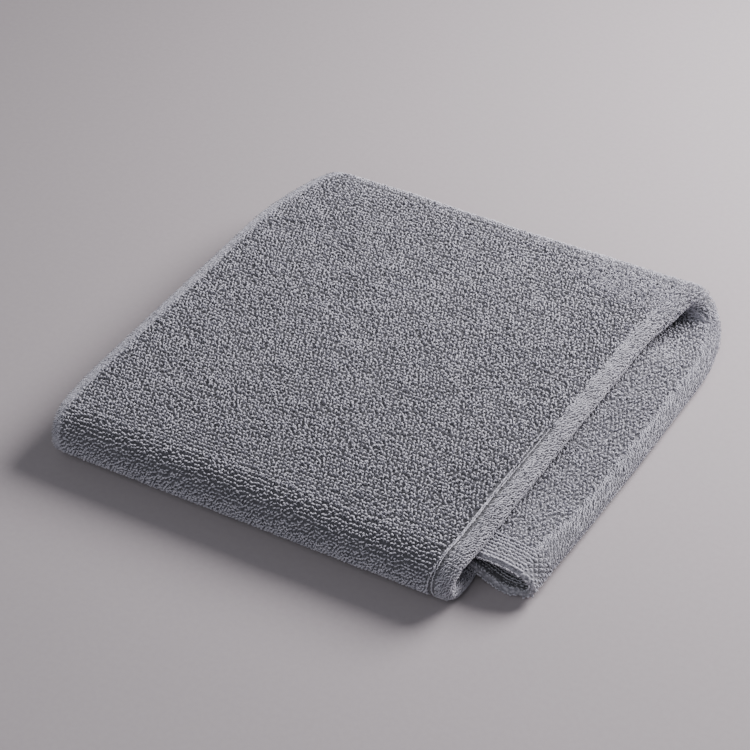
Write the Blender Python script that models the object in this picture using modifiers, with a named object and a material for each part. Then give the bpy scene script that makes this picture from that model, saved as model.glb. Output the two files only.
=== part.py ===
"""A terry hand towel, folded in half along its length and then in three.

The towel is one sheet of cloth. Its first fold makes a strip of two layers that
is closed along its right side and open along its left. The strip is then folded
in three: the front third turns under the top and lies on the surface, and the
back third turns under between the two, run out to the right, where it drapes
off the front third down to the surface. That third's hem end gapes open.

Frame: metres, +X to the closed side, +Y to the back, +Z up, with the origin at
the centre of the base.
"""

import math

import bpy
import numpy as np

# The cloth and how its layers lie
SHEET = 0.0038        # thickness of the cloth with its loops, both faces
AIR = 0.0010          # between the two layers of the strip
STRIP_AIR = 0.0012    # between one third of the strip and the next
STRIP_WIDTH = 0.200   # open edge to closed side

LAYER = (SHEET + AIR) / 2            # each layer's middle from the strip's middle
STRIP_PITCH = 2 * SHEET + AIR + STRIP_AIR
STRIP_LOW = SHEET / 2 + LAYER        # middle of a strip that lies on the surface
STRIP_HIGH = STRIP_LOW + 2 * STRIP_PITCH
TURN_RADIUS = STRIP_PITCH            # of the strip's middle round each turn
TURN_CENTRE = (STRIP_LOW + STRIP_HIGH) / 2
HALF_TURN = math.pi * TURN_RADIUS
BASE_LAYER = SHEET / 2               # middle of the lowest layer

# The strip from the front third's hem to the back third's hem
ALONG = (
    # stretch, length, mesh steps
    ("front_third", 0.155, 8),
    ("front_turn", HALF_TURN, 12),
    ("top", 0.195, 14),
    ("back_turn", HALF_TURN, 12),
    ("back_third", 0.187, 16),
)
LENGTH = {name: length for name, length, _ in ALONG}
START = {
    name: sum(length for _, length, _ in ALONG[:i])
    for i, (name, _, _) in enumerate(ALONG)
}
CLOTH_LENGTH = sum(LENGTH.values())

# One layer of the strip from its open edge to the closed side, and the side turn
ACROSS = (
    # share of the layer's width, mesh steps
    (0.60, 5),
    (0.40, 9),
)
SIDE_TURN_STEPS = 6

# How the strip runs sideways as it goes on from the middle of the top
RUNS = (
    # distance to the right, stretch, start and end of the run from its start
    (-0.0060, "front_turn", 0.012, -0.040),
    (0.0255, "back_turn", -0.042, HALF_TURN + 0.033),
    (-0.0010, "back_third", 0.080, 0.180),
)
SKEW = math.radians(5.0)   # the cloth's rows against its sides, from wear

# How far each side draws in round a turn
DRAWN_IN = (
    # side of the strip, stretch, share of the turn, depth, reach along
    (-1, "back_turn", 0.48, 0.0050, 0.012),
    (-1, "front_turn", 0.42, 0.0046, 0.014),
    (1, "front_turn", 0.40, 0.0024, 0.016),
    (1, "back_turn", 0.55, 0.0016, 0.016),
)

# The back third climbs on to the front third, and drapes off its right edge
CLIMB = 0.034
DRAPE_FROM = 0.091
DRAPE = 0.033

# The gape of the back third, widest at its hem's closed corner
GAPE = 0.0050
GAPE_LENGTH = 0.055
GAPE_WIDTH = 0.025
SIDE_PLUMP = 0.0010

# Height of the whole pile, as shares of it
NOSE_DROP = 0.050     # the top slopes down to the front turn over this length
NOSE_SLOPE = 0.045
OPEN_EDGE_DROP = 0.045
OPEN_EDGE_REACH = 0.022
WAVES = (
    # share of the height, wave length across, wave length along, phase
    (0.012, 0.31, 0.43, 0.6),
    (0.009, 0.17, -0.26, 2.1),
    (0.006, -0.11, 0.19, 4.0),
)


def ease(t):
    """0 below 0, 1 above 1, and a smooth step between."""
    t = np.clip(t, 0.0, 1.0)
    return t * t * (3.0 - 2.0 * t)


def within(v, stretch):
    """Distance into a stretch of the strip, and which points are on it."""
    into = v - START[stretch]
    return into, (into >= 0) & (into <= LENGTH[stretch] + 1e-9)


def gape_at(a, v):
    """Extra air between the two layers, by place across and along."""
    towards_hem = ease((v - (CLOTH_LENGTH - GAPE_LENGTH)) / GAPE_LENGTH)
    towards_side = ease((a - (STRIP_WIDTH / 2 - 0.010 - GAPE_WIDTH)) / GAPE_WIDTH)
    on_back_third = ease((v - START["back_turn"]) / HALF_TURN)
    return towards_side * (GAPE * towards_hem + SIDE_PLUMP * on_back_third)


def hairpin(s, v):
    """Place across and height off the strip's middle of the folded sheet.

    s runs from 0 at the outer layer's edge to 1 at the side turn, 1 to 2 round
    the turn, and 2 to 3 back to the inner layer's edge.
    """
    edge = STRIP_WIDTH / 2
    gape = gape_at(np.full_like(v, edge), v)
    radius = LAYER + gape / 2
    centre = edge - SHEET / 2 - radius
    share = np.where(s <= 1, s, np.clip(3.0 - s, 0.0, 1.0))
    a_flat = -edge + share * (centre + edge)
    outer = np.full_like(v, LAYER)
    inner = -LAYER - gape_at(a_flat, v)
    angle = np.clip(s - 1.0, 0.0, 1.0) * math.pi
    turning = (s > 1) & (s < 2)
    a = np.where(turning, centre + radius * np.sin(angle), a_flat)
    h = np.where(s <= 1, outer, inner)
    h = np.where(turning, -gape / 2 + radius * np.cos(angle), h)
    return a, h


def along_strip(v, h):
    """y and z of a point h outside the strip's middle, at v along it."""
    y = np.zeros_like(v)
    z = np.zeros_like(v)
    reach = TURN_RADIUS + h

    into, here = within(v, "front_third")
    y = np.where(here, LENGTH["front_third"] - into, y)
    z = np.where(here, STRIP_LOW - h, z)

    into, here = within(v, "front_turn")
    angle = into / TURN_RADIUS
    y = np.where(here, -reach * np.sin(angle), y)
    z = np.where(here, TURN_CENTRE - reach * np.cos(angle), z)

    into, here = within(v, "top")
    y = np.where(here, into, y)
    z = np.where(here, STRIP_HIGH + h, z)

    into, here = within(v, "back_turn")
    angle = into / TURN_RADIUS
    y = np.where(here, LENGTH["top"] + reach * np.sin(angle), y)
    z = np.where(here, TURN_CENTRE + reach * np.cos(angle), z)

    into, here = within(v, "back_third")
    y = np.where(here, LENGTH["top"] - into, y)
    z = np.where(here, STRIP_LOW - h, z)
    return y, z


def sideways(a, v):
    """x of a point at a across the strip, with its drawn-in turns and its runs."""
    x = a.copy()
    for side, stretch, share, depth, reach in DRAWN_IN:
        middle = START[stretch] + share * LENGTH[stretch]
        drawn = depth * np.exp(-(((v - middle) / reach) ** 2))
        x -= np.where(a * side > 0, a, 0.0) * drawn / (STRIP_WIDTH / 2)
    for run, stretch, start, end in RUNS:
        x += run * ease((v - START[stretch] - start) / (end - start))
    return x


def pile_height(x, y):
    """Share of its full height that the pile has at a place."""
    share = 1.0 - NOSE_DROP * ease((NOSE_SLOPE - y) / NOSE_SLOPE)
    share -= OPEN_EDGE_DROP * ease(
        (-x - (STRIP_WIDTH / 2 - OPEN_EDGE_REACH)) / OPEN_EDGE_REACH
    )
    for depth, across, along, phase in WAVES:
        share += depth * np.sin(2 * math.pi * (x / across + y / along) + phase)
    return share


def place(s, v):
    """The middle of the sheet, folded, as an array of points."""
    a, h = hairpin(s, v)
    y, z = along_strip(v, h)
    x = sideways(a, v)
    hem = LENGTH["front_third"]
    over = ease((DRAPE_FROM + DRAPE - x) / DRAPE) * ease((hem + CLIMB - y) / CLIMB)
    z += np.where(v > START["back_third"], STRIP_PITCH * over, 0.0)
    z = BASE_LAYER + (z - BASE_LAYER) * pile_height(x, y)
    y += x * math.tan(SKEW)
    return np.stack([x, y, z], axis=-1)


def stations():
    """The mesh's places across, from 0 to 3, and along, in metres."""
    layer = [0.0]
    for share, steps in ACROSS:
        layer += [layer[-1] + share * (i + 1) / steps for i in range(steps)]
    turn = [1.0 + (i + 1) / SIDE_TURN_STEPS for i in range(SIDE_TURN_STEPS)]
    back = [3.0 - share for share in reversed(layer[:-1])]
    along = [0.0]
    for _, length, steps in ALONG:
        along += [along[-1] + length * (i + 1) / steps for i in range(steps)]
    return np.array(layer + turn + back), np.array(along)


def terry_cloth():
    material = bpy.data.materials.new("terry_cloth")
    material.use_nodes = True
    shader = material.node_tree.nodes["Principled BSDF"]
    shader.inputs["Base Color"].default_value = (0.235, 0.235, 0.262, 1.0)
    shader.inputs["Roughness"].default_value = 0.95
    shader.inputs["Metallic"].default_value = 0.0
    return material


def folded_sheet(name):
    """The flat grid of the cloth, moved to its folded place and thickened."""
    across, along = stations()
    bpy.ops.mesh.primitive_grid_add(
        x_subdivisions=len(across) - 1, y_subdivisions=len(along) - 1, size=2.0
    )
    sheet = bpy.context.object
    sheet.name = name
    flat = np.array([vertex.co[:2] for vertex in sheet.data.vertices])
    column = np.rint((flat[:, 0] + 1) / 2 * (len(across) - 1)).astype(int)
    row = np.rint((flat[:, 1] + 1) / 2 * (len(along) - 1)).astype(int)
    points = place(across[column], along[row])
    sheet.data.vertices.foreach_set("co", points.ravel())
    sheet.data.update()

    solid = sheet.modifiers.new("cloth", "SOLIDIFY")
    solid.thickness = SHEET
    solid.offset = 0.0
    solid.use_even_offset = True
    solid.use_quality_normals = True
    sheet.data.materials.append(terry_cloth())
    return sheet


def centre_on_base(piece):
    """Moves the piece's mesh so that its box stands centred on the origin."""
    graph = bpy.context.evaluated_depsgraph_get()
    corners = np.array(piece.evaluated_get(graph).bound_box)
    low = corners.min(axis=0)
    high = corners.max(axis=0)
    points = np.array([vertex.co[:] for vertex in piece.data.vertices])
    points -= [(low[0] + high[0]) / 2, (low[1] + high[1]) / 2, low[2]]
    piece.data.vertices.foreach_set("co", points.ravel())
    piece.data.update()


def main():
    for thing in list(bpy.data.objects):
        bpy.data.objects.remove(thing)
    towel = folded_sheet("towel")
    centre_on_base(towel)
    home = bpy.data.collections.new("folded_hand_towel")
    bpy.context.scene.collection.children.link(home)
    for holder in list(towel.users_collection):
        holder.objects.unlink(towel)
    home.objects.link(towel)


main()
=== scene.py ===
import math

import bpy
import numpy as np
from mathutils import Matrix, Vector


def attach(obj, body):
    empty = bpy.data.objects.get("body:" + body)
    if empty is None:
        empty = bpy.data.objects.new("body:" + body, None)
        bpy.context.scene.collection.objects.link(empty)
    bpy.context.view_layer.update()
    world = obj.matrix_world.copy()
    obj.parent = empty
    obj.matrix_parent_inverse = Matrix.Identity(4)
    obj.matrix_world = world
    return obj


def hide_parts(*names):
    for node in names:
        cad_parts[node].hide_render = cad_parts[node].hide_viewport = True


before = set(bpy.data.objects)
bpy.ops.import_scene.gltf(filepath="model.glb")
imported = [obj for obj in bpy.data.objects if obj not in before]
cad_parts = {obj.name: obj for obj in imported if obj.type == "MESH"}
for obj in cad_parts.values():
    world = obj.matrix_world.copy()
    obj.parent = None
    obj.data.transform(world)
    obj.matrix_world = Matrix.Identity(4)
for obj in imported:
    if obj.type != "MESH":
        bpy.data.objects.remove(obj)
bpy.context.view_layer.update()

# ------------------------------------------------------------------ ground cloth
# The thin cotton weave of a 40 by 60 cm terry towel, which the loops stand on,
# hemmed all round. It is folded in half along its length. Then its front third is
# turned under and its back third in between, run out to the right as a flap.

CLOTH = 0.0038                 # whole thickness, loop tops to loop tops
AIR = 0.0010                   # between the two layers of the folded strip
THIRDS_AIR = 0.0012            # between one third of the strip and the next
WIDTH = 0.200                  # of the folded strip
LAYER = (CLOTH + AIR) / 2      # each layer's middle from the strip's middle
TURN = 2 * CLOTH + AIR + THIRDS_AIR      # radius of the strip's middle round a turn
HALF_TURN = math.pi * TURN               # cloth that goes round the front or back turn
FLOOR_STRIP = CLOTH / 2 + LAYER          # height of a strip that lies on the surface
TOP_STRIP = FLOOR_STRIP + 2 * TURN       # height of the top one
LEG = WIDTH - CLOTH / 2 - LAYER          # flat part of a layer, edge to side fold
SIDE_FOLD = math.pi * LAYER              # cloth that goes round the side fold
ACROSS = 2 * LEG + SIDE_FOLD             # the whole cloth, side to side

# u runs across the cloth from the open edge of the outer layer, and v along it
# from the front third's hem. Each stretch of the strip starts at these places.
FRONT_THIRD, TOP, BACK_THIRD = 0.155, 0.195, 0.187
V_FRONT = FRONT_THIRD                    # the front turn
V_TOP = V_FRONT + HALF_TURN
V_BACK = V_TOP + TOP                     # the back turn
V_UNDER = V_BACK + HALF_TURN             # the back third, which is the flap
ALONG = V_UNDER + BACK_THIRD             # the whole cloth, hem to hem

# from the strip's own middle and the front turn's centre to the towel's centre
STRIP_MIDDLE = Vector((-0.00978, -0.09807, 0.0))


def ease(t):
    """0 below 0, 1 above 1, and a smooth step between."""
    t = np.clip(t, 0.0, 1.0)
    return t * t * (3.0 - 2.0 * t)


def bump_at(t, middle, reach):
    return np.exp(-(((t - middle) / reach) ** 2))


MOUTH_GAPE = 0.0062    # of the flap's two layers at its hem, at the closed corner
GAPE_LENGTH = 0.055    # from there along the flap
GAPE_FROM = 0.035      # from the strip's right side, where it starts to open
GAPE_WIDTH = 0.025
PLUMP = 0.0010         # of the flap's side fold, all along it
PUFF = 0.0030          # of the side fold where it goes round the back turn


def gape(a, v):
    """How far the strip's two layers stand apart beside the side fold."""
    to_hem = ease((v - (ALONG - GAPE_LENGTH)) / GAPE_LENGTH)
    to_side = ease((a - (WIDTH / 2 - GAPE_FROM)) / GAPE_WIDTH)
    plump = PLUMP * ease((v - V_BACK) / HALF_TURN)
    plump += PUFF * bump_at(v, V_BACK + 0.35 * HALF_TURN, 0.020)
    return to_side * (MOUTH_GAPE * to_hem + plump)


def hairpin(u, v):
    """Place across the strip and height off its middle, for u across the cloth."""
    edge = WIDTH / 2
    open_by = gape(np.full_like(v, edge), v)
    radius = LAYER + open_by / 2
    centre = edge - CLOTH / 2 - radius
    on_turn = (u > LEG) & (u < LEG + SIDE_FOLD)
    share = np.clip(np.where(u <= LEG, u, ACROSS - u) / LEG, 0.0, 1.0)
    a = -edge + share * (centre + edge)
    h = np.where(u <= LEG, LAYER, -LAYER - gape(a, v))
    angle = np.clip((u - LEG) / SIDE_FOLD, 0.0, 1.0) * math.pi
    a = np.where(on_turn, centre + radius * np.sin(angle), a)
    h = np.where(on_turn, -open_by / 2 + radius * np.cos(angle), h)
    return a, h


def fold_in_three(v, h):
    """y and z along the strip, h outside its middle."""
    reach = TURN + h
    centre = (FLOOR_STRIP + TOP_STRIP) / 2
    front = np.clip((v - V_FRONT) / TURN, 0.0, math.pi)
    back = np.clip((v - V_BACK) / TURN, 0.0, math.pi)
    under_front = v < V_FRONT
    under_back = v > V_UNDER
    y = np.where(v < V_TOP, -reach * np.sin(front), v - V_TOP)
    z = np.where(v < V_TOP, centre - reach * np.cos(front), TOP_STRIP + h)
    y = np.where(v > V_BACK, TOP + reach * np.sin(back), y)
    z = np.where(v > V_BACK, centre + reach * np.cos(back), z)
    y = np.where(under_front, V_FRONT - v, y)
    z = np.where(under_front, FLOOR_STRIP - h, z)
    y = np.where(under_back, TOP - (v - V_UNDER), y)
    z = np.where(under_back, FLOOR_STRIP - h, z)
    return y, z


DRAWN_IN = (
    # side, place along, depth, reach: how far each side draws in round a turn
    (-1, V_BACK + 0.48 * HALF_TURN, 0.0050, 0.012),
    (-1, V_FRONT + 0.42 * HALF_TURN, 0.0046, 0.014),
    (1, V_FRONT + 0.40 * HALF_TURN, 0.0024, 0.016),
    (1, V_BACK + 0.12 * HALF_TURN, 0.0050, 0.017),
)
RUNS = (
    # distance to the right, from, to: how the strip runs sideways along its way
    (-0.0060, V_FRONT + 0.012, V_FRONT - 0.040),
    (0.0255, V_BACK - 0.042, V_BACK + HALF_TURN + 0.033),
    (-0.0010, V_UNDER + 0.080, V_UNDER + 0.180),
)
SWELLS = (
    # share of the height, wave length across and along, phase
    (0.012, 0.31, 0.43, 0.6),
    (0.009, 0.17, -0.26, 2.1),
    (0.006, -0.11, 0.19, 4.0),
    (0.006, 0.071, 0.058, 1.3),
    (0.005, -0.052, 0.083, 5.2),
    (0.004, 0.037, -0.041, 2.7),
)


CREASE = 0.0052        # from the side fold's start, on the top
CREASE_DEPTH = 0.0011


def crease(u, v):
    """Depth of the crease beside the side fold, which runs back from the front."""
    along = ease((v - V_FRONT + 0.002) / 0.008) * ease((V_TOP + 0.095 - v) / 0.070)
    return CREASE_DEPTH * along * bump_at(u, LEG - CREASE, 0.0010)


CLIMB = 0.027          # the flap climbs on to the front third over this length
DRAPE_TO = 0.124       # right of the strip's middle, where it has come down again
DRAPE = 0.033          # the width it takes to come down
HANG = 0.060           # near its hem the lower layer hangs slack over this length
FRONT_SLOPE = 0.064    # length over which the top slopes down to the front turn
FRONT_DROP = 0.076     # share of the height that it loses on the way
EDGE_DROP = 0.045      # share of the height lost at the open edges
EDGE_REACH = 0.022
SKEW = math.radians(5.0)      # of the rows against the sides, from wear


def lay(u, v):
    """Middle of the cloth as it lies folded, for places across and along it."""
    a, h = hairpin(u, v)
    y, z = fold_in_three(v, h)
    x = a.copy()
    for side, middle, depth, reach in DRAWN_IN:
        x -= np.where(a * side > 0, a, 0.0) / (WIDTH / 2) * depth * bump_at(v, middle, reach)
    for run, start, end in RUNS:
        x += run * ease((v - start) / (end - start))
    slack = ease((v - (ALONG - HANG)) / 0.040) * ease((LEG - u) / 0.004)
    over = ease((DRAPE_TO - 0.012 * slack - x) / (DRAPE - 0.009 * slack))
    over *= ease((FRONT_THIRD + CLIMB - y) / CLIMB)
    z = z + np.where(v > V_UNDER, TURN * over, 0.0)
    z = z - np.where(v < V_BACK, crease(u, v), 0.0)
    height = 1.0 - FRONT_DROP * np.maximum((FRONT_SLOPE - y) / FRONT_SLOPE, 0.0) ** 2
    height -= EDGE_DROP * ease((-x - (WIDTH / 2 - EDGE_REACH)) / EDGE_REACH)
    for depth, wide, deep, phase in SWELLS:
        height += depth * np.sin(2 * math.pi * (x / wide + y / deep) + phase)
    z = CLOTH / 2 + (z - CLOTH / 2) * height
    y = y + x * math.tan(SKEW)
    return np.stack([x, y, z], axis=-1) + np.array(STRIP_MIDDLE)


def stand_on(u, v):
    """Place on the cloth's middle, its two directions and its outward normal."""
    step = 0.0002
    here = lay(u, v)
    warp = lay(u, v + step) - lay(u, v - step)
    weft = lay(u + step, v) - lay(u - step, v)
    normal = np.cross(weft, warp)
    for way in (warp, weft, normal):
        way /= np.linalg.norm(way, axis=-1, keepdims=True) + 1e-12
    return here, weft, warp, normal


UNDER_NOSE = V_FRONT - 0.060     # the side fold shows from here, under the front turn
OUTER_FROM = V_FRONT - 0.014     # and the outer layer's face from here
OUTER_TO = V_UNDER + 0.010       # to here, under the back turn
FLAP_SHOWN = 0.042               # of the flap's upper face, from the side fold
LIP_SHOWN = 0.010                # of the inner layer, elsewhere along the side fold


def looped(u, v):
    """1 where loops stand on the outward face, 0 where the pile is pressed flat."""
    past = u - LEG - SIDE_FOLD
    outer = ease((LEG + 0.004 - u) / 0.002)
    outer *= ease((v - OUTER_FROM) / 0.004) * ease((OUTER_TO - v) / 0.004)
    turn = ease((u - LEG + 0.004) / 0.002) * ease((0.002 - past) / 0.002)
    turn *= ease((v - UNDER_NOSE) / 0.004)
    inner = ease((past + 0.004) / 0.002) * ease((v - (V_BACK - 0.030)) / 0.020)
    inner *= ease((FLAP_SHOWN - past) / 0.004)
    lip = ease((past + 0.004) / 0.002) * ease((LIP_SHOWN - past) / 0.004)
    lip *= ease((v - (V_FRONT - 0.030)) / 0.004)
    return np.clip(np.maximum.reduce([outer, turn, inner, lip]), 0.0, 1.0)


def painted_light_on_nose(v):
    """1 on the upper part of the front turn, where the loops crowd together and get less painted
    shade, as painted light.
    """
    return bump_at(v, V_TOP - 0.015, 0.009)


HEM = 0.0045           # width of the folded hem round the cloth
HEM_HALF = 0.00125     # half the hem's thickness
HEM_ROUND = 0.0011     # radius of its rounded edge
HEM_LIP = 0.0016       # at the flap's hem no painted shade goes on the weave between the loops
GROUND = 0.00055       # half the thickness of the ground weave
PRESSED = 0.00165      # half the thickness where the loops are pressed flat
BAND = 0.0052          # of each layer beside the side fold, where loops lie combed
MOUTH = 0.018          # depth of the loops that show inside the flap
CLEAR = 0.00005        # nothing reaches lower than this over the floor


def from_edge(u, v):
    return np.minimum.reduce([u, ACROSS - u, v, ALONG - v])


def half_thickness(u, v, loops):
    edge = from_edge(u, v)
    flat = GROUND * loops + PRESSED * (1.0 - loops)
    half = HEM_HALF + (flat - HEM_HALF) * ease((edge - HEM) / 0.0012)
    round_off = np.clip(edge / HEM_ROUND, 0.0, 1.0)
    return half * np.sqrt(np.clip(1.0 - (1.0 - round_off) ** 2, 0.02, 1.0))


def steps(*stretches):
    """Places along a line: each stretch is its end and the number of steps to it."""
    places = [0.0]
    for end, count in stretches:
        start = places[-1]
        places += [start + (end - start) * (i + 1) / count for i in range(count)]
    return np.array(places)


def mesh_piece(name, points, quads):
    mesh = bpy.data.meshes.new(name)
    mesh.vertices.add(len(points))
    mesh.vertices.foreach_set("co", points.astype(np.float32).ravel())
    mesh.loops.add(quads.size)
    mesh.polygons.add(len(quads))
    mesh.polygons.foreach_set("loop_start", np.arange(len(quads), dtype=np.int32) * 4)
    mesh.loops.foreach_set("vertex_index", quads.astype(np.int32).ravel())
    mesh.polygons.foreach_set("use_smooth", np.ones(len(quads), dtype=bool))
    mesh.update(calc_edges=True)
    mesh.validate()
    piece = bpy.data.objects.new(name, mesh)
    bpy.context.scene.collection.objects.link(piece)
    return piece


def ground_cloth():
    """Both faces of the ground weave and the rim that joins them."""
    u = steps(
        (0.0003, 1), (0.0012, 2), (HEM, 2), (HEM + 0.0014, 2), (LEG - 0.008, 30), (LEG, 6),
        (LEG + SIDE_FOLD, 12), (ACROSS - HEM - 0.0014, 34), (ACROSS - HEM, 2),
        (ACROSS - 0.0012, 2), (ACROSS - 0.0003, 2), (ACROSS, 1),
    )
    v = steps(
        (0.0003, 1), (0.0012, 2), (HEM, 2), (HEM + 0.0014, 2), (V_FRONT, 24),
        (V_TOP, 18), (V_BACK, 34), (V_UNDER, 18), (ALONG - HEM - 0.0014, 38),
        (ALONG - HEM, 2), (ALONG - 0.0012, 2), (ALONG - 0.0003, 2), (ALONG, 1),
    )
    grid_u, grid_v = np.meshgrid(u, v, indexing="ij")
    here, _, _, normal = stand_on(grid_u, grid_v)
    face = here + normal * half_thickness(grid_u, grid_v, looped(grid_u, grid_v))[..., None]
    inside = ease((grid_v - (ALONG - MOUTH)) / 0.004)
    inside *= ease((0.06 - abs(grid_u - ACROSS / 2)) / 0.01)
    back = here - normal * half_thickness(grid_u, grid_v, inside)[..., None]
    points = np.concatenate([face.reshape(-1, 3), back.reshape(-1, 3)])
    points[:, 2] = np.maximum(points[:, 2], CLEAR)
    rows, columns = grid_u.shape
    index = np.arange(rows * columns).reshape(rows, columns)
    other = index + rows * columns
    over = np.stack([index[:-1, :-1], index[1:, :-1], index[1:, 1:], index[:-1, 1:]], -1)
    under = np.stack([other[:-1, :-1], other[:-1, 1:], other[1:, 1:], other[1:, :-1]], -1)
    rim = []
    for face_line, back_line in (
        (index[:, 0], other[:, 0]),
        (index[-1, :], other[-1, :]),
        (index[::-1, -1], other[::-1, -1]),
        (index[0, ::-1], other[0, ::-1]),
    ):
        rim.append(np.stack([face_line[:-1], back_line[:-1], back_line[1:], face_line[1:]], -1))
    quads = np.concatenate([over.reshape(-1, 4), under.reshape(-1, 4)] + rim)
    piece = mesh_piece("terry_ground_cloth", points, quads)
    # Painted shade on the weave where loops stand on it. None at the flap's hem, less from the band
    # beside the side fold on over the flap and on the upper front turn, and some inside the flap's
    # mouth on the other face.
    painted_shade_under_loops = piece.data.attributes.new("loops", "FLOAT", "POINT")
    to_lip = ease((ALONG - HEM_LIP - grid_v) / HEM_LIP)
    deep = 1.0 - 0.38 * ease((grid_u - LEG + BAND) / BAND) - 0.30 * painted_light_on_nose(grid_v)
    painted_shade_amount = np.concatenate([
        (looped(grid_u, grid_v) * to_lip * deep).ravel(),
        (inside * to_lip).ravel(),
    ])
    painted_shade_under_loops.data.foreach_set("value", painted_shade_amount.astype(np.float32))
    return piece


def node(tree, kind, settings=None, **inputs):
    """A shader node with its settings, and its inputs set or linked by name."""
    made = tree.nodes.new(kind)
    for key, value in (settings or {}).items():
        setattr(made, key, value)
    for key, value in inputs.items():
        socket = made.inputs[int(key[1:]) if key[1:].isdigit() else key.replace("_", " ")]
        if isinstance(value, bpy.types.NodeSocket):
            tree.links.new(value, socket)
        else:
            socket.default_value = value
    return made


def new_material(name):
    material = bpy.data.materials.new(name)
    material.use_nodes = True
    tree = material.node_tree
    shader = tree.nodes["Principled BSDF"]
    return material, tree, shader


def ramp(tree, factor, *stops):
    made = tree.nodes.new("ShaderNodeValToRGB")
    tree.links.new(factor, made.inputs["Fac"])
    elements = made.color_ramp.elements
    while len(elements) < len(stops):
        elements.new(0.5)
    for element, (place, colour) in zip(elements, stops):
        element.position = place
        element.color = (*colour, 1.0)
    return made.outputs["Color"]


CRUSHED_HIGH = (0.470, 0.464, 0.525)     # dyed cotton, crushed loops and hem
PAINTED_SHADE_BETWEEN_LUMPS = (0.190, 0.188, 0.214)      # painted shade between the crushed loops
PAINTED_SHADE_ON_WEAVE = (0.070, 0.070, 0.081)            # painted shade on the weave between standing loops


def ground_cotton():
    """Dyed cotton ground weave, with the crushed loops as soft lumps in it, painted shade between
    the lumps, and painted shade where loops stand on it.
    """
    material, tree, shader = new_material("ground_cotton")
    place = tree.nodes.new("ShaderNodeTexCoord").outputs["Object"]
    lumps = node(tree, "ShaderNodeTexVoronoi", {"feature": "SMOOTH_F1"},
                 Vector=place, Scale=620.0, Randomness=0.8, Smoothness=0.35)
    fibres = node(tree, "ShaderNodeTexNoise", Vector=place, Scale=1900.0, Detail=3.0)
    clouds = node(tree, "ShaderNodeTexNoise", Vector=place, Scale=26.0, Detail=2.0)
    # Painted shade, darker between the crushed lumps.
    loops = ramp(tree, lumps.outputs["Distance"],
                 (0.10, CRUSHED_HIGH), (0.75, PAINTED_SHADE_BETWEEN_LUMPS))
    tone = ramp(tree, clouds.outputs["Fac"],
                (0.3, (0.86, 0.86, 0.86)), (0.7, (1.0, 1.0, 1.0)))
    mixed = node(tree, "ShaderNodeMix", {"data_type": "RGBA", "blend_type": "MULTIPLY"},
                 _0=0.7, _6=loops, _7=tone)
    # Painted shade on the weave where loops stand on it.
    painted_shade_amount = node(tree, "ShaderNodeAttribute", {"attribute_name": "loops"})
    painted_shade_under_loops = node(tree, "ShaderNodeMix", {"data_type": "RGBA"},
                 _0=painted_shade_amount.outputs["Fac"], _6=mixed.outputs[2], _7=(*PAINTED_SHADE_ON_WEAVE, 1.0))
    tree.links.new(painted_shade_under_loops.outputs[2], shader.inputs["Base Color"])
    low = node(tree, "ShaderNodeBump", {"invert": True}, Strength=0.9, Distance=0.0009,
               Height=lumps.outputs["Distance"])
    fine = node(tree, "ShaderNodeBump", Strength=0.4, Distance=0.0002,
                Height=fibres.outputs["Fac"], Normal=low.outputs["Normal"])
    tree.links.new(fine.outputs["Normal"], shader.inputs["Normal"])
    shader.inputs["Roughness"].default_value = 0.95
    shader.inputs["Specular IOR Level"].default_value = 0.15
    shader.inputs["Sheen Weight"].default_value = 0.25
    shader.inputs["Sheen Roughness"].default_value = 0.5
    return material


ground = ground_cloth()
ground.data.materials.append(ground_cotton())
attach(ground, "root")
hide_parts("towel")

# ------------------------------------------------------------------------- pile
# Uncut loops of soft cotton yarn stand close together on the ground cloth, in
# rows across it. Each is a short arch that leans and twists its own way. In the
# wash they have drifted out of line, least round the front turn and at the hem.

PITCH_U = 0.00164       # between loops in a row
PITCH_V = 0.00186       # between rows
YARN = 0.00037          # radius of the yarn
LOOP_WIDE = 0.00060     # half the width of a loop, at its yarn's middle
LOOP_LONG = 0.00148     # from its foot to its crown, at its yarn's middle
ARCH = (-36.0, 216.0)   # degrees round the loop that its yarn goes, foot to foot
rng = np.random.default_rng(40)


def drift_field(count, shortest, longest):
    """A smooth wandering value over the cloth, about -1 to 1."""
    length = rng.uniform(shortest, longest, count)
    turn = rng.uniform(0.0, 2 * math.pi, count)
    phase = rng.uniform(0.0, 2 * math.pi, count)

    def at(u, v):
        total = np.zeros_like(u)
        for size, way, start in zip(length, turn, phase):
            total += np.sin(2 * math.pi * (u * math.cos(way) + v * math.sin(way)) / size + start)
        return total / math.sqrt(count / 2)

    return at


shift_u = drift_field(9, 0.008, 0.030)
shift_v = drift_field(9, 0.008, 0.030)
swing = drift_field(9, 0.012, 0.045)


def stirred(u, v):
    """0 where rows run true, 1 where the wash has stirred them."""
    wild = ease((v - V_TOP + 0.010) / 0.045) * ease((ALONG - 0.004 - v) / 0.030)
    return 0.08 + 0.92 * wild


def feet(columns, rows, where, jitter=0.00014, drift=0.00026, half_drop=True):
    """Places where loops stand: columns and rows, drifted, each a little off."""
    u, v = np.meshgrid(columns, rows, indexing="ij")
    if half_drop:
        odd = (np.arange(len(rows)) % 2)[None, :]
        u = u + 0.5 * odd * np.gradient(columns)[:, None]
    u, v = u.ravel(), v.ravel()
    wild = stirred(u, v)
    loose = jitter * (0.55 + 0.45 * wild)
    u = u + wild * drift * shift_u(u, v) + loose * rng.normal(0, 1, u.size)
    v = v + wild * drift * shift_v(u, v) + loose * rng.normal(0, 1, u.size)
    keep = where(u, v) > rng.uniform(0.3, 0.7, u.size)
    return u[keep], v[keep]


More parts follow.
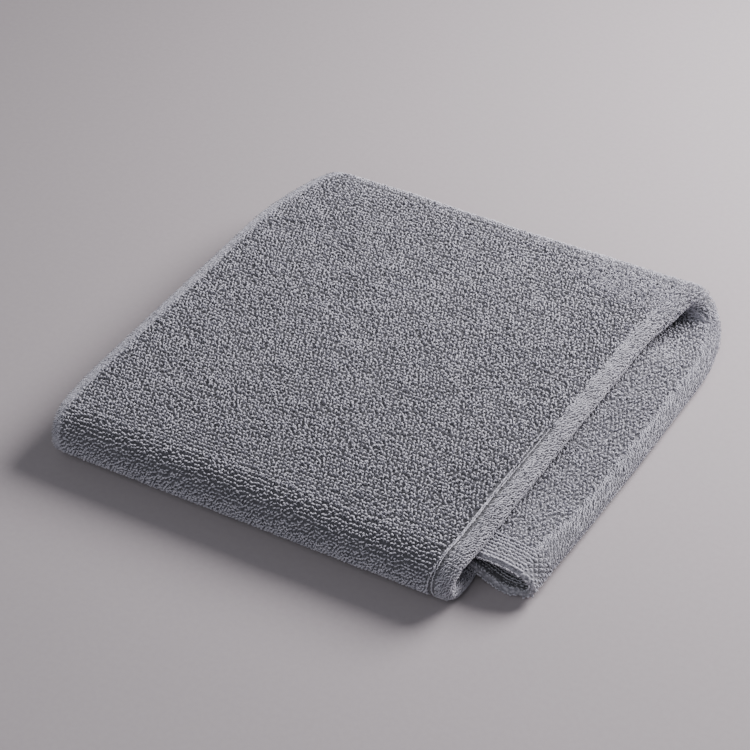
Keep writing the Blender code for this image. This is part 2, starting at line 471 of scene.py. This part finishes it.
def build_loops(name, u, v, turn, tip, side=1.0, wide=LOOP_WIDE, long=LOOP_LONG,
                thick=YARN, foot=GROUND, shade=1.0, painted_paleness=0.0, rings=6):
    """Yarn arches on the cloth, each turned about the way up and then tipped over.

    side is 1 on the outward face and -1 on the other. wide and long are a loop's
    half width and its height, thick its yarn's radius, and foot the height that it
    starts from. shade is how much painted shade darkens its feet, and the paleness
    how much paler its dye is painted as light, darker below 0 as painted shade.
    """
    count, ribs = len(u), 3
    here, weft, warp, normal = stand_on(u, v)
    normal = normal * side
    wide = wide * rng.uniform(0.80, 1.22, count)
    long = long * rng.uniform(0.86, 1.14, count)
    way = np.cos(turn)[:, None] * weft + np.sin(turn)[:, None] * warp
    aside = np.cross(normal, way)
    rising = np.cos(tip)[:, None] * normal + np.sin(tip)[:, None] * aside
    face_out = np.cross(way, rising)
    angle = np.radians(np.linspace(*ARCH, rings))[None, :]
    rise = (np.sin(angle) + 0.59) / 1.59      # 0 at its feet, 1 at its crown
    skew = rng.normal(0, 0.30, count) * wide
    path = here[:, None] + way[:, None] * (-np.cos(angle) * wide[:, None])[..., None]
    path += rising[:, None] * (rise * long[:, None])[..., None]
    path += face_out[:, None] * (skew[:, None] * np.sin(2 * angle))[..., None]
    path += (normal * (np.broadcast_to(foot, count) - 0.0002)[:, None])[:, None]
    ahead = np.gradient(path, axis=1)
    ahead /= np.linalg.norm(ahead, axis=-1, keepdims=True)
    across = np.cross(ahead, face_out[:, None])
    across /= np.linalg.norm(across, axis=-1, keepdims=True)
    beside = np.cross(across, ahead)
    full = 0.74 + 0.26 * np.clip(rise, 0, 1)
    radius = (thick * rng.uniform(0.86, 1.14, count))[:, None] * full
    ring = np.arange(ribs) * 2 * math.pi / ribs + 0.4
    points = path[:, :, None] + radius[..., None, None] * (
        np.cos(ring)[None, None, :, None] * across[:, :, None]
        + np.sin(ring)[None, None, :, None] * beside[:, :, None]
    )
    points = points.reshape(-1, 3)
    points[:, 2] = np.maximum(points[:, 2], CLEAR)
    begin = (np.arange(count) * rings * ribs)[:, None, None]
    k = (np.arange(rings - 1) * ribs)[None, :, None]
    s = np.arange(ribs)[None, None, :]
    t = (s + 1) % ribs
    quads = np.stack([begin + k + s, begin + k + t, begin + k + ribs + t, begin + k + ribs + s], -1)
    piece = mesh_piece(name, points, quads.reshape(-1, 4))
    # Painted shade: each loop darker towards its feet, by shade. Its tint is a random dye plus the
    # paleness, which is painted light and shade.
    depth = 1.0 - np.broadcast_to(shade, count)[:, None] * (1.0 - rise)
    for label, values in (
        ("tint", np.repeat(rng.uniform(0, 1, count) + painted_paleness, rings * ribs)),
        ("rise", np.repeat(depth.ravel(), ribs)),
    ):
        layer = piece.data.attributes.new(label, "FLOAT", "POINT")
        layer.data.foreach_set("value", values.astype(np.float32))
    return piece


YARN_DARK = (0.450, 0.445, 0.512)
YARN_DYE = (0.515, 0.508, 0.580)
YARN_PALE = (0.595, 0.586, 0.661)


def loop_yarn():
    """Soft dyed cotton yarn, with painted shade darkening each loop towards its foot."""
    material, tree, shader = new_material("loop_yarn")
    place = tree.nodes.new("ShaderNodeTexCoord").outputs["Object"]
    tint = node(tree, "ShaderNodeAttribute", {"attribute_name": "tint"})
    rise = node(tree, "ShaderNodeAttribute", {"attribute_name": "rise"})
    fibres = node(tree, "ShaderNodeTexNoise",
                  Vector=place, Scale=2600.0, Detail=3.0, Roughness=0.6)
    clouds = node(tree, "ShaderNodeTexNoise", Vector=place, Scale=24.0, Detail=2.0)
    dye = ramp(tree, tint.outputs["Fac"],
               (0.0, YARN_DARK), (0.5, YARN_DYE), (1.0, YARN_PALE))
    # Painted shade, darker towards each loop's foot.
    foot = ramp(tree, rise.outputs["Fac"],
                (0.0, (0.19, 0.19, 0.21)), (0.55, (0.60, 0.60, 0.62)),
                (0.95, (1.0, 1.0, 1.0)))
    cloud = ramp(tree, clouds.outputs["Fac"],
                 (0.30, (0.95, 0.95, 0.96)), (0.70, (1.0, 1.0, 1.0)))
    shaded = node(tree, "ShaderNodeMix", {"data_type": "RGBA", "blend_type": "MULTIPLY"},
                  _0=1.0, _6=dye, _7=foot)
    clouded = node(tree, "ShaderNodeMix", {"data_type": "RGBA", "blend_type": "MULTIPLY"},
                   _0=1.0, _6=shaded.outputs[2], _7=cloud)
    tree.links.new(clouded.outputs[2], shader.inputs["Base Color"])
    bump = node(tree, "ShaderNodeBump", Strength=0.5, Distance=0.00015,
                Height=fibres.outputs["Fac"])
    tree.links.new(bump.outputs["Normal"], shader.inputs["Normal"])
    shader.inputs["Roughness"].default_value = 0.9
    shader.inputs["Specular IOR Level"].default_value = 0.2
    shader.inputs["Sheen Weight"].default_value = 0.35
    shader.inputs["Sheen Roughness"].default_value = 0.45
    return material


yarn = loop_yarn()


def finish_pile(piece):
    piece.data.materials.append(yarn)
    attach(piece, "root")


def softness(u, v):
    """1 where the pile is fluffed up, at the right end of the back turn."""
    back = ease((v - V_BACK + 0.035) / 0.035) * ease((V_UNDER + 0.030 - v) / 0.040)
    return back * ease((u - LEG + 0.080) / 0.070)


def washed(u, v):
    """How loops stand after washing: their turn and their tip."""
    wild = stirred(u, v)
    turn = 0.25 + wild * (0.65 + 0.5 * swing(u, v))
    turn = turn + (0.26 + 0.94 * wild) * rng.normal(0, 1, u.size)
    tip = np.sign(rng.normal(0.15, 0.6, u.size)) * rng.uniform(0.0, 0.5, u.size)
    return turn, tip


def spaced(*stretches):
    """Places along a line: each stretch is its start, its end and its pitch."""
    return np.concatenate([np.arange(start, end, pitch) for start, end, pitch in stretches])


ROWS = spaced(
    (V_FRONT - 0.062, V_FRONT, PITCH_V),
    (V_FRONT, V_TOP, PITCH_V * 0.70),      # closed up, to fill the round of the turn
    (V_TOP, V_BACK, PITCH_V),
    (V_BACK, V_UNDER, PITCH_V * 0.96),
    (V_UNDER, ALONG, PITCH_V),
)
SELVEDGE = 0.0032       # along the open side, where loops lie over the edge
BARE_DEPTH = 0.00020    # no loops stand where the crease is deeper
LAST_ROW = ALONG - 0.0016


def beside_crease(u, v):
    """True along the part of the strip that has the crease."""
    return crease(0.0 * u + LEG - CREASE, v) > 0.0001


def in_body(u, v):
    fading = ease((LEG - u) / BAND) * ease((u - SELVEDGE + 0.0012) / 0.0024)
    creased = (crease(u, v) > BARE_DEPTH) | (beside_crease(u, v) & (u > LEG - CREASE))
    return looped(u, v) * fading * (v < LAST_ROW) * ~creased


u, v = feet(np.arange(0.0022, LEG, PITCH_U), ROWS, in_body)
STRETCHES = (
    # name, from, to
    ("pile_front_turn", 0.0, V_TOP + 0.004),
    ("pile_top_front", V_TOP + 0.004, V_TOP + 0.068),
    ("pile_top_middle", V_TOP + 0.068, V_TOP + 0.132),
    ("pile_top_back", V_TOP + 0.132, V_BACK),
    ("pile_back_turn", V_BACK, ALONG),
)
for name, start, end in STRETCHES:
    here = (v >= start) & (v < end)
    soft = softness(u[here], v[here])
    # Painted shade darkens each loop's feet, less where the pile is fluffed up and on the upper
    # front turn.
    finish_pile(build_loops(name, u[here], v[here], *washed(u[here], v[here]),
                            long=LOOP_LONG * (1 + 0.15 * soft), thick=YARN * (1 - 0.20 * soft),
                            shade=1.0 - 0.40 * soft - 0.25 * painted_light_on_nose(v[here])))

# ------------------------------------------------------------- flap's upper face
# The back third has run out to the right and shows its other layer as a flap. It
# has the same pile as far as it shows, up to the straight rows at its hem.

HEM_ROWS = ALONG - 0.0150     # past here the last rows stand straight along the hem


def in_flap(u, v):
    fading = ease((u - LEG - SIDE_FOLD) / BAND)
    return looped(u, v) * fading * (v < HEM_ROWS)


flap_columns = np.arange(LEG + SIDE_FOLD, LEG + SIDE_FOLD + 0.044, PITCH_U)
u, v = feet(flap_columns, ROWS, in_flap)
# Less painted shade at the feet here, and the dye painted darker as shade.
finish_pile(build_loops("pile_flap", u, v, *washed(u, v), shade=0.78, painted_paleness=-0.30))

# -------------------------------------------------------------------- side fold
# Round the closed side the loops are combed flat along the fold, in a
# herringbone, and their fine yarn closes up so that it looks smooth. They get
# little painted shade at their feet, and a painted highlight makes them paler
# along the fold's crest.


def in_band(u, v):
    beside = ease((u - LEG + BAND + 0.001) / BAND) * ease((LEG + SIDE_FOLD + BAND - u) / BAND)
    beside = np.where(beside_crease(u, v) & (u < LEG), u > LEG - CREASE + 0.0024, beside)
    return beside * (v > UNDER_NOSE) * (v < HEM_ROWS)


u, v = feet(np.arange(LEG - BAND, LEG + SIDE_FOLD + BAND, 0.00070),
            np.arange(UNDER_NOSE, ALONG, 0.00122), in_band, jitter=0.00012)
SLANT = 0.62                        # of the combed loops from the way of the fold
ridge = LEG + SIDE_FOLD * 0.42      # where the two slants of the herringbone meet
fluff = ease((v - V_BACK + 0.040) / 0.030) * ease((V_UNDER + 0.012 - v) / 0.020)
turn = math.pi / 2 + np.where(u < ridge, -SLANT, SLANT)
turn = turn + (0.14 + 0.5 * fluff) * rng.normal(0, 1, u.size)
tip = (0.30 + 0.4 * fluff) * rng.normal(0, 1, u.size)
# Painted highlight along the fold's crest.
highlight_on_crest = bump_at(u, ridge, 0.006)
finish_pile(build_loops("pile_side_fold", u, v, turn, tip, wide=0.00092 - 0.00020 * fluff,
                        long=0.00085 + 0.00055 * fluff, thick=0.00023, foot=GROUND + 0.0005,
                        shade=0.45 + 0.2 * fluff,
                        painted_paleness=0.25 * highlight_on_crest * (1 - 0.8 * fluff) - 0.15, rings=4))

# ----------------------------------------------------------------------- crease
# Two rows of loops lie end to end like cords along the crease beside the side
# fold, one on each side of it, and sink into the pile where the crease ends.
# Near the front they are painted a little paler as light, and towards their end
# they are painted darker, with more painted shade at their feet.


def everywhere(u, v):
    return 1.0 + 0.0 * u


CORD_FROM, CORD_TO = V_FRONT - 0.006, V_TOP + 0.081
CORD_APART = 0.0011        # from the bottom of the crease

u, v = feet(np.array([LEG - CREASE - CORD_APART, LEG - CREASE + CORD_APART]),
            np.arange(CORD_FROM, CORD_TO, 0.00105), everywhere, jitter=0.00003,
            drift=0.0, half_drop=False)
sunk = ease((v - V_TOP - 0.020) / 0.055)
finish_pile(build_loops("pile_crease_cords", u, v, math.pi / 2 + rng.normal(0, 0.12, u.size),
                        rng.normal(0, 0.1, u.size), wide=0.00110 - 0.00030 * sunk, long=0.00050,
                        thick=0.00028, foot=0.0012 - 0.0003 * sunk, shade=0.45 + 0.55 * sunk,
                        painted_paleness=0.1 - 0.6 * sunk, rings=4))

# --------------------------------------------------------------------- selvedge
# Along the open side five rows of fine yarn lie slanting over the rounded edge
# of the hem, and make a close smooth rim beside the deeper pile.

RIM_FROM, RIM_TO = V_FRONT - 0.014, V_UNDER + 0.008


def on_selvedge(u, v):
    return (v > RIM_FROM) * (v < RIM_TO)


u, v = feet(np.array([0.0003, 0.0011, 0.0019, 0.0027, 0.0035]),
            np.arange(RIM_FROM, RIM_TO, 0.00062), on_selvedge, jitter=0.0001, drift=0.0)
turn = SLANT + rng.normal(0, 0.10, u.size)
# The rim's yarn is painted darker as shade, with little painted shade at its feet.
finish_pile(build_loops("pile_selvedge", u, v, turn, rng.normal(0, 0.2, u.size), wide=0.00100,
                        long=0.00034, thick=0.00022, foot=0.00125, shade=0.45, painted_paleness=-0.5, rings=4))

# ----------------------------------------------------------------- flap's mouth
# At the flap's hem the last rows of loops stand close and straight, round the
# side fold too. Straight rows stand inside its mouth and short ones on its lips.

HEM_PITCH = 0.00142        # between loops in these rows, closer round the side fold

hem_columns = spaced(
    (LEG - 0.050, LEG, HEM_PITCH),
    (LEG, LEG + SIDE_FOLD, 0.00100),
    (LEG + SIDE_FOLD, LEG + SIDE_FOLD + 0.044, HEM_PITCH),
)


def in_hem_rows(u, v):
    return ease((u - LEG + 0.010) / 0.001)


u, v = feet(hem_columns, np.arange(HEM_ROWS + 0.0004, ALONG - 0.0012, 0.00184), in_hem_rows,
            jitter=0.00005, drift=0.0)
finish_pile(build_loops("pile_hem_rows", u, v, rng.normal(0, 0.10, u.size),
                        rng.normal(0.15, 0.12, u.size), long=0.00140, wide=0.00062, thick=0.00040,
                        shade=0.85))

u, v = feet(hem_columns, np.arange(ALONG - 0.019, ALONG - 0.0024, 0.00150), everywhere,
            jitter=0.00005, drift=0.0)
finish_pile(build_loops("pile_mouth", u, v, rng.normal(0, 0.10, u.size),
                        rng.normal(0, 0.12, u.size), side=-1.0, long=0.00085, wide=0.00068,
                        thick=0.00036, shade=0.70))

LIP_ROWS = (
    # name, which side of the hem, distance from its edge, tip over it, foot
    ("pile_outer_lip", 1.0, 0.0016, 0.40, 0.0011),
    ("pile_hem_edge", 1.0, 0.0004, 1.35, 0.0004),
    ("pile_inner_lip", -1.0, 0.0015, -0.40, 0.0011),
)
for name, side, inwards, lean, foot in LIP_ROWS:
    u, v = feet(np.arange(LEG - 0.050, LEG + SIDE_FOLD + 0.050, 0.00128),
                np.array([ALONG - inwards]), everywhere, jitter=0.00010, drift=0.0, half_drop=False)
    # The lips' yarn is painted a little paler as light.
    finish_pile(build_loops(name, u, v, rng.normal(0, 0.22, u.size), rng.normal(lean, 0.20, u.size),
                            side=side, long=0.00120, wide=0.00048, thick=0.00038, foot=foot,
                            shade=0.80, painted_paleness=0.2))

# ------------------------------------------------------------------------ fluff
# The right end of the back turn is fluffy from handling, with fine thin loops of
# fibre pulled up out of the pile.


def in_fluff(u, v):
    return 1.3 * softness(u, v) * ease((LEG + SIDE_FOLD + 0.010 - u) / 0.008)


u, v = feet(np.arange(LEG - 0.070, LEG + SIDE_FOLD + 0.010, 0.00130),
            np.arange(V_BACK - 0.032, V_UNDER + 0.026, 0.00150), in_fluff, jitter=0.0004)
# The fibre is painted a little paler as light, with little painted shade at its feet.
finish_pile(build_loops("pile_fluff", u, v, rng.uniform(0, math.pi, u.size),
                        rng.normal(0, 0.7, u.size), wide=0.00095, long=0.00195, thick=0.00014,
                        foot=GROUND + 0.0003, shade=0.35, painted_paleness=0.1, rings=4))

# --------------------------------------------------- floor, light and the camera
# A pale plain floor, one broad soft light high behind on the right and a weak
# one high in front, as in a small studio.


def floor():
    bpy.ops.mesh.primitive_plane_add(size=6.0, location=(0.0, 0.0, 0.0))
    ground_plane = bpy.context.object
    ground_plane.name = "studio_floor"
    material, tree, shader = new_material("floor_board")
    place = tree.nodes.new("ShaderNodeTexCoord").outputs["Object"]
    grain = node(tree, "ShaderNodeTexNoise", Vector=place, Scale=400.0, Detail=3.0)
    tone = ramp(tree, grain.outputs["Fac"],
                (0.3, (0.335, 0.305, 0.325)), (0.7, (0.350, 0.320, 0.340)))
    tree.links.new(tone, shader.inputs["Base Color"])
    shader.inputs["Roughness"].default_value = 0.85
    shader.inputs["Specular IOR Level"].default_value = 0.2
    ground_plane.data.materials.append(material)


floor()


def soft_light(name, place, aim, size, power, colour):
    data = bpy.data.lights.new(name, "AREA")
    data.shape = "DISK"
    data.size = size
    data.energy = power
    data.color = colour
    lamp = bpy.data.objects.new(name, data)
    lamp.location = place
    lamp.rotation_euler = (Vector(aim) - Vector(place)).to_track_quat("-Z", "Y").to_euler()
    bpy.context.scene.collection.objects.link(lamp)


soft_light("window_light", (0.27, 0.49, 0.47), (0.0, 0.0, 0.0), 0.46, 14.3, (1.0, 0.97, 0.96))
soft_light("front_fill", (0.10, -0.90, 0.95), (0.0, 0.0, 0.0), 0.90, 5.3, (0.97, 0.98, 1.0))

world = bpy.data.worlds.new("studio_air")
world.use_nodes = True
world.node_tree.nodes["Background"].inputs["Color"].default_value = (0.90, 0.92, 1.0, 1.0)
world.node_tree.nodes["Background"].inputs["Strength"].default_value = 0.15
bpy.context.scene.world = world

AZIMUTH, ELEVATION = math.radians(32.6), math.radians(42.65)
AIM, DISTANCE = Vector((-0.0082, -0.0090, 0.0140)), 0.941
away = Vector((
    math.sin(AZIMUTH) * math.cos(ELEVATION),
    -math.cos(AZIMUTH) * math.cos(ELEVATION),
    math.sin(ELEVATION),
))
camera_data = bpy.data.cameras.new("camera")
camera_data.lens = 99.6
camera_data.sensor_width = 36.0
camera = bpy.data.objects.new("camera", camera_data)
camera.location = AIM + away * DISTANCE
camera.rotation_euler = (-away).to_track_quat("-Z", "Y").to_euler()
bpy.context.scene.collection.objects.link(camera)
bpy.context.scene.camera = camera
